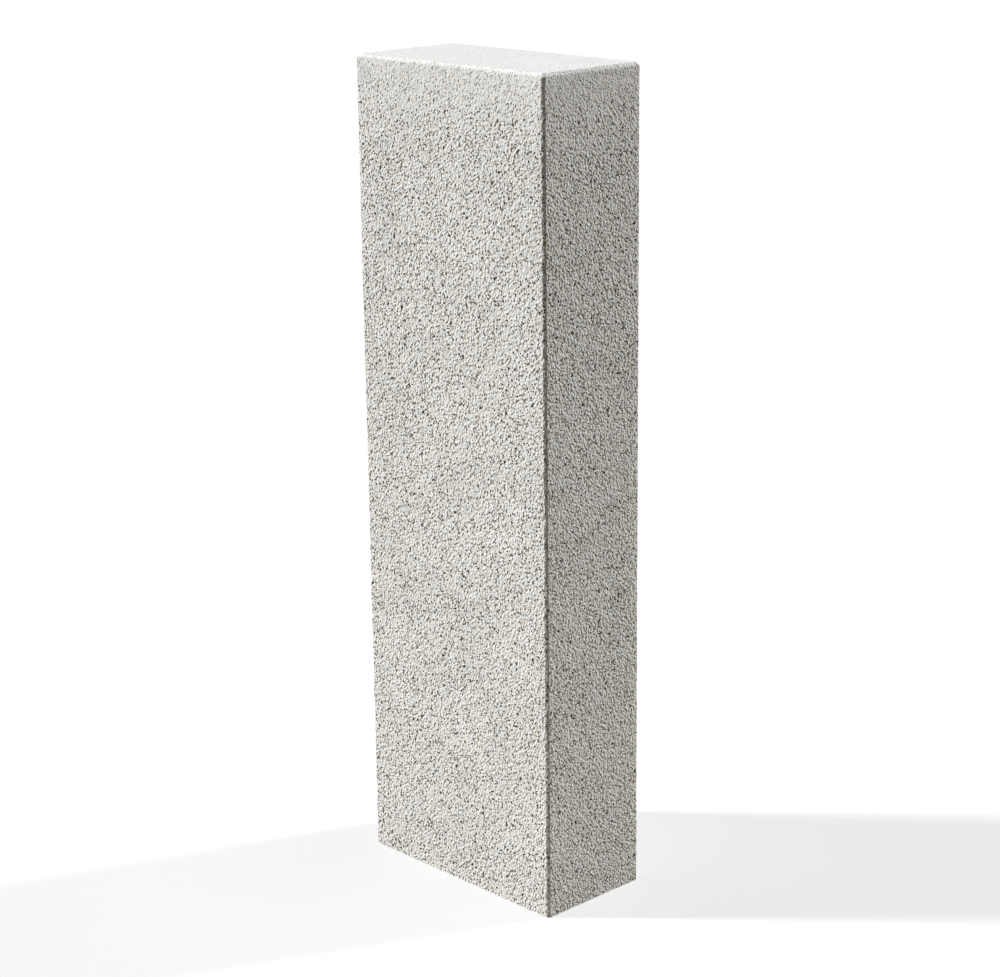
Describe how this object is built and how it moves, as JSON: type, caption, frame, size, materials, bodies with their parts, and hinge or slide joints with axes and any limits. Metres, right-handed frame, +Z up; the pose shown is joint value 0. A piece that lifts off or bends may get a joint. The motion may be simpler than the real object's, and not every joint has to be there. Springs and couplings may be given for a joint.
{
  "type": "concrete palisade",
  "caption": "Rectangular cast concrete palisade with bevelled upright and head arrises and a fine-blasted pale grey surface, stood on end in rows as edging or a low retaining wall.",
  "frame": {"origin": "centre of the foot's flat face, level with what it stands on", "axes": "+Z up from the foot to the head, +X along the wide face, -Y out of the wide face that the picture shows, +X out of the narrow face that the picture shows"},
  "size_m": [0.25, 0.125, 0.8],
  "materials": {
    "concrete": "matte"
  },
  "bodies": {
    "root": {"palisade_block": "concrete"}
  },
  "joints": []
}
